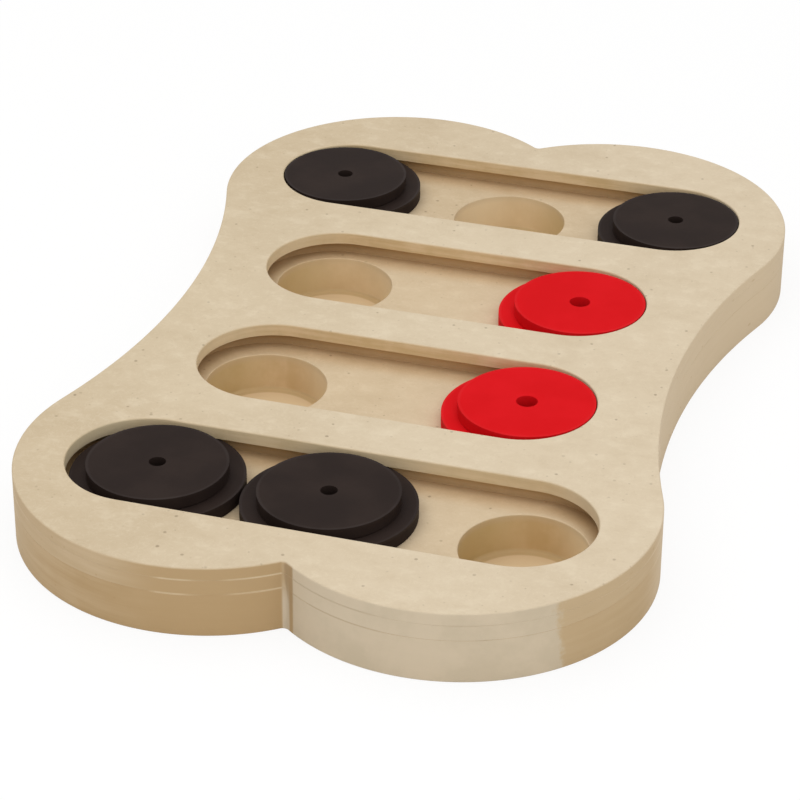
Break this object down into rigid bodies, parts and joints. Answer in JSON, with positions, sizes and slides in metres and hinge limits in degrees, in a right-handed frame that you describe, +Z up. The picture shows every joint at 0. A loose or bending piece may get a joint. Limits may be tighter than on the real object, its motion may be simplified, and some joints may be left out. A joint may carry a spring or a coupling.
{
  "type": "dog puzzle feeder",
  "caption": "Bone-shaped wooden puzzle feeder for dogs: round sliders with trapped flanges run in slots of a layered board and cover the treat wells below.",
  "frame": {"origin": "centre of the board's flat underside", "axes": "+X along the tracks, +Y along the bone away from the near end, +Z up"},
  "size_m": [0.207, 0.3266, 0.0245],
  "materials": {
    "board_wood": "bare sanded fibreboard",
    "black_paint": "satin black paint on fibreboard",
    "red_paint": "satin red paint on fibreboard"
  },
  "bodies": {
    "board": {"top_board": "board_wood", "channel_board": "board_wood", "base_board": "board_wood"},
    "slider_far_left": {"slider_far_left_flange": "black_paint", "slider_far_left_knob": "black_paint"},
    "slider_far_right": {"slider_far_right_flange": "black_paint", "slider_far_right_knob": "black_paint"},
    "slider_second_track": {"slider_second_track_flange": "red_paint", "slider_second_track_knob": "red_paint"},
    "slider_third_track": {"slider_third_track_flange": "red_paint", "slider_third_track_knob": "red_paint"},
    "slider_near_left": {"slider_near_left_flange": "black_paint", "slider_near_left_knob": "black_paint"},
    "slider_near_centre": {"slider_near_centre_flange": "black_paint", "slider_near_centre_knob": "black_paint"}
  },
  "joints": [
    {"name": "far_left_slide", "type": "slide", "parent": "board", "child": "slider_far_left", "axis": [1, 0, 0], "range_m": [0, 0.0696]},
    {"name": "far_right_slide", "type": "slide", "parent": "board", "child": "slider_far_right", "axis": [1, 0, 0], "range_m": [-0.0696, 0]},
    {"name": "second_track_slide", "type": "slide", "parent": "board", "child": "slider_second_track", "axis": [1, 0, 0], "range_m": [-0.0899, 0]},
    {"name": "third_track_slide", "type": "slide", "parent": "board", "child": "slider_third_track", "axis": [1, 0, 0], "range_m": [-0.0899, 0]},
    {"name": "near_left_slide", "type": "slide", "parent": "board", "child": "slider_near_left", "axis": [1, 0, 0], "range_m": [-0.00655, 0.0005]},
    {"name": "near_centre_slide", "type": "slide", "parent": "board", "child": "slider_near_centre", "axis": [1, 0, 0], "range_m": [-0.0005, 0.06255]}
  ]
}
